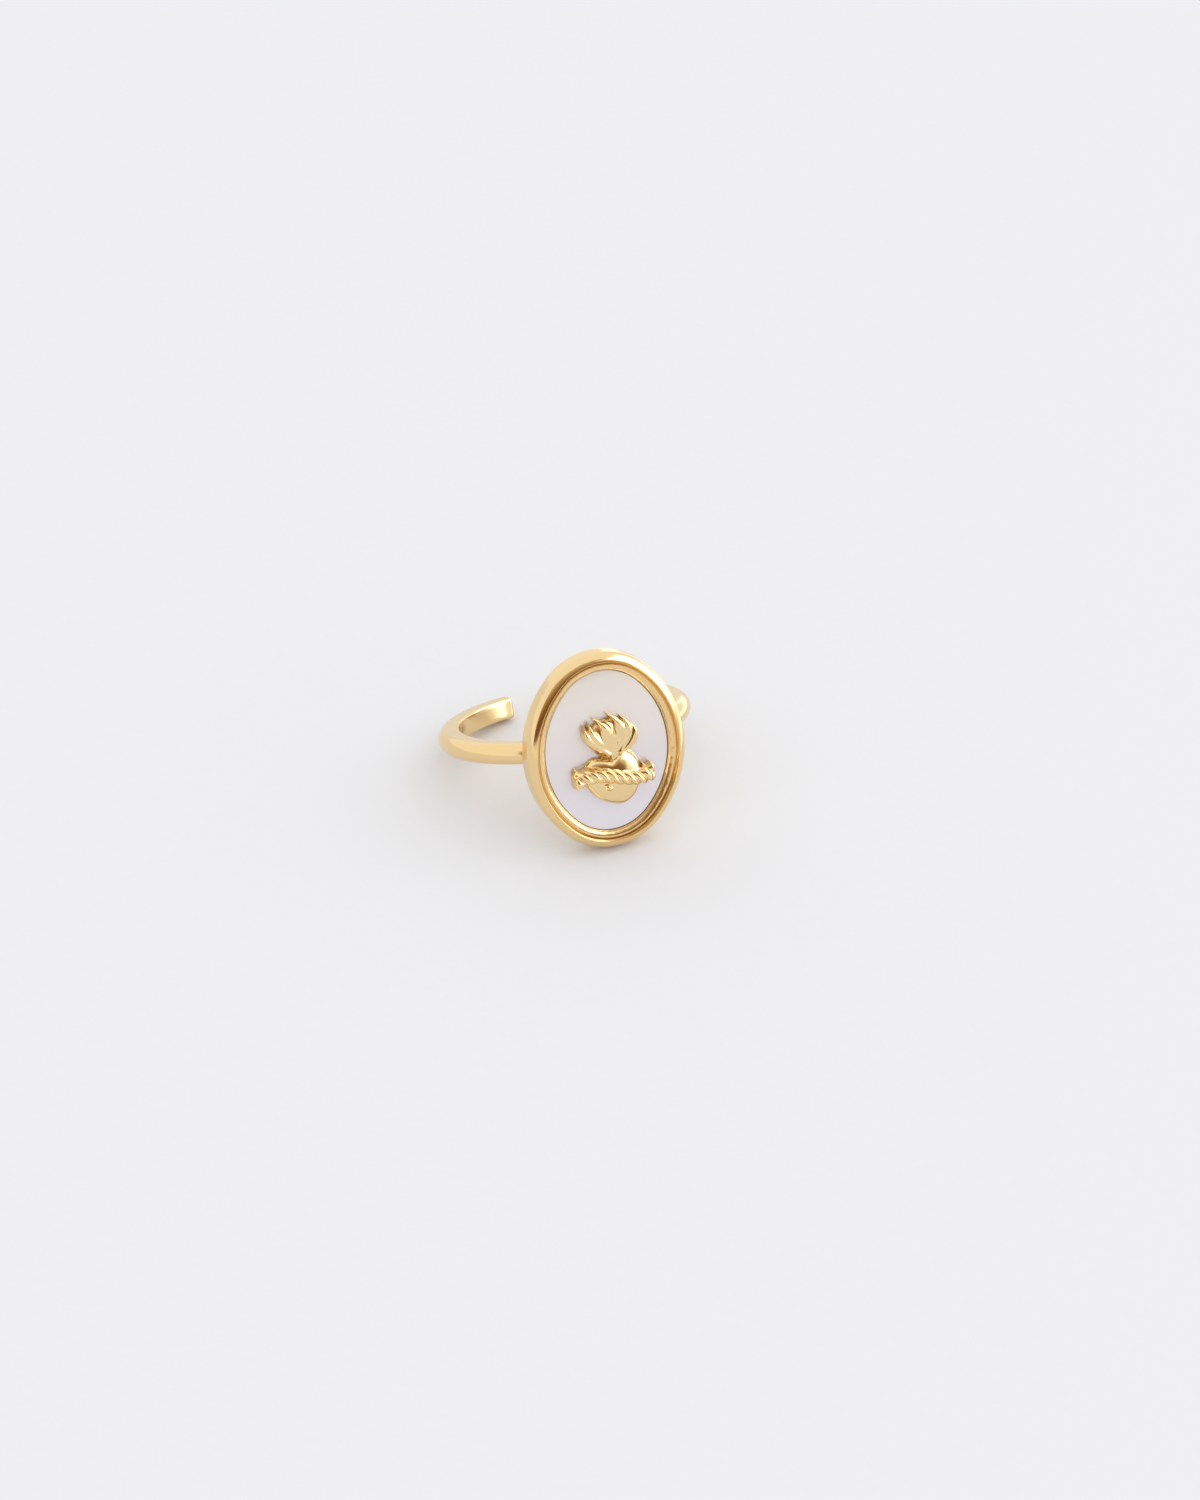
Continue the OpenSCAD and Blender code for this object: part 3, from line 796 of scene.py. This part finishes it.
def makeCard(name, width, height, place, material):
    x, y = width / 2, height / 2
    mesh = bpy.data.meshes.new(name)
    mesh.from_pydata([(-x, -y, 0), (x, -y, 0), (x, y, 0), (-x, y, 0)], [], [(0, 1, 2, 3)])
    mesh.materials.append(material)
    card = bpy.data.objects.new(name, mesh)
    bpy.context.scene.collection.objects.link(card)
    card.matrix_world = place
    return card


def paintedShadeFinish():
    # painted shade: a matt sheet, darker towards the floor, that throws no shine back
    material, tree = newMaterial("paintedRoomShade")
    place = addNode(tree, "ShaderNodeTexCoord", {}).outputs["Object"]
    height = addNode(tree, "ShaderNodeSeparateXYZ", {"Vector": place}).outputs["Y"]
    share = addNode(tree, "ShaderNodeMapRange", {
        "Value": height, "From Min": -studio["shadeSheetHeight"] / 2, "From Max": studio["shadeSheetHeight"] / 2})
    colour = addNode(tree, "ShaderNodeValToRGB", {"Fac": share.outputs["Result"]})
    setStops(colour, studio["shadeSheetTints"])
    shader = addNode(tree, "ShaderNodeBsdfPrincipled", {
        "Base Color": colour.outputs["Color"], "Roughness": studio["shadeSheetRoughness"],
        "Specular IOR Level": 0.0})
    addNode(tree, "ShaderNodeOutputMaterial", {"Surface": shader.outputs["BSDF"]})
    return material


def glowingCard(name, radiance):
    material, tree = newMaterial(name)
    glow = addNode(tree, "ShaderNodeEmission", {"Strength": radiance})
    addNode(tree, "ShaderNodeOutputMaterial", {"Surface": glow.outputs["Emission"]})
    return material


def aroundRing(part):
    # where that part of the studio stands, turned so that its -Z looks at the ring
    back = towards(studio[part + "Azimuth"], studio[part + "Elevation"])
    turn = back.to_track_quat("Z", "Y").to_matrix().to_4x4()
    return Matrix.Translation(ringMiddle + back * studio[part + "Distance"]) @ turn


makeCard("floor", studio["floorSize"], studio["floorSize"], Matrix.Identity(4), paintedBoard())
for part, place, material in (
        # painted shade: a brown sheet behind the camera, seen only in polished surfaces
        ("shadeSheet", aroundRing("shadeSheet"), paintedShadeFinish()),
        ("pane", aroundRing("pane"), glowingCard("brightWindowPane", studio["paneRadiance"])),
        # painted reflection: a glowing card, no lamp, that only polished surfaces mirror
        ("paintedGleam", Matrix.Translation(studio["paintedGleamMiddle"]),
         glowingCard("paintedTableGleam", studio["paintedGleamRadiance"]))):
    card = makeCard(part + "_card", studio[part + "Width"], studio[part + "Height"], place, material)
    card.visible_camera = False
    card.visible_diffuse = False
    card.visible_shadow = False

window = bpy.data.lights.new("window", "AREA")
window.shape = "RECTANGLE"
window.size, window.size_y = studio["windowWidth"], studio["windowHeight"]
window.energy = math.pi * studio["windowWidth"] * studio["windowHeight"] * studio["windowRadiance"]
windowLight = bpy.data.objects.new("window", window)
bpy.context.scene.collection.objects.link(windowLight)
windowLight.matrix_world = aroundRing("window")
windowLight.visible_camera = False

world = bpy.data.worlds.new("brightRoom")
world.use_nodes = True
world.node_tree.nodes.clear()
background = addNode(world.node_tree, "ShaderNodeBackground", {
    "Color": linear("#FFFFFF"), "Strength": studio["roomLight"]})
addNode(world.node_tree, "ShaderNodeOutputWorld", {"Surface": background.outputs["Background"]})
bpy.context.scene.world = world
bpy.context.scene.view_settings.view_transform = "Standard"

# The camera stands where the photograph was taken, fitted to the ring's outlines in it
photo = {
    "width": 1200, "height": 1500,             # pixels
    "headMiddle": (609.27, 752.45),            # pixel of the middle of the head's front
    "pixelsPerMm": 12.69,                      # there
    "azimuth": -20.81, "elevation": 35.77,
    "distance": 330,
    "sensor": 36,
}


def addCamera():
    camera = bpy.data.cameras.new("photoCamera")
    camera.sensor_width = photo["sensor"]
    camera.lens = photo["pixelsPerMm"] * photo["distance"] * photo["sensor"] / photo["height"]
    viewer = bpy.data.objects.new("photoCamera", camera)
    bpy.context.scene.collection.objects.link(viewer)
    back = towards(photo["azimuth"], photo["elevation"])
    right = Matrix.Rotation(math.radians(photo["azimuth"]), 3, "Z") @ Vector((1, 0, 0))
    up = back.cross(right)
    # the ring is off the middle of the picture
    offRight = (photo["headMiddle"][0] - photo["width"] / 2) / photo["pixelsPerMm"] * mm
    offDown = (photo["headMiddle"][1] - photo["height"] / 2) / photo["pixelsPerMm"] * mm
    aim = headPlace @ Vector((0, 0, head["thickness"] * mm)) - right * offRight + up * offDown
    turn = Matrix((right, up, back)).transposed().to_4x4()
    viewer.matrix_world = Matrix.Translation(aim + back * photo["distance"] * mm) @ turn
    bpy.context.scene.camera = viewer


addCamera()
print("studio made")
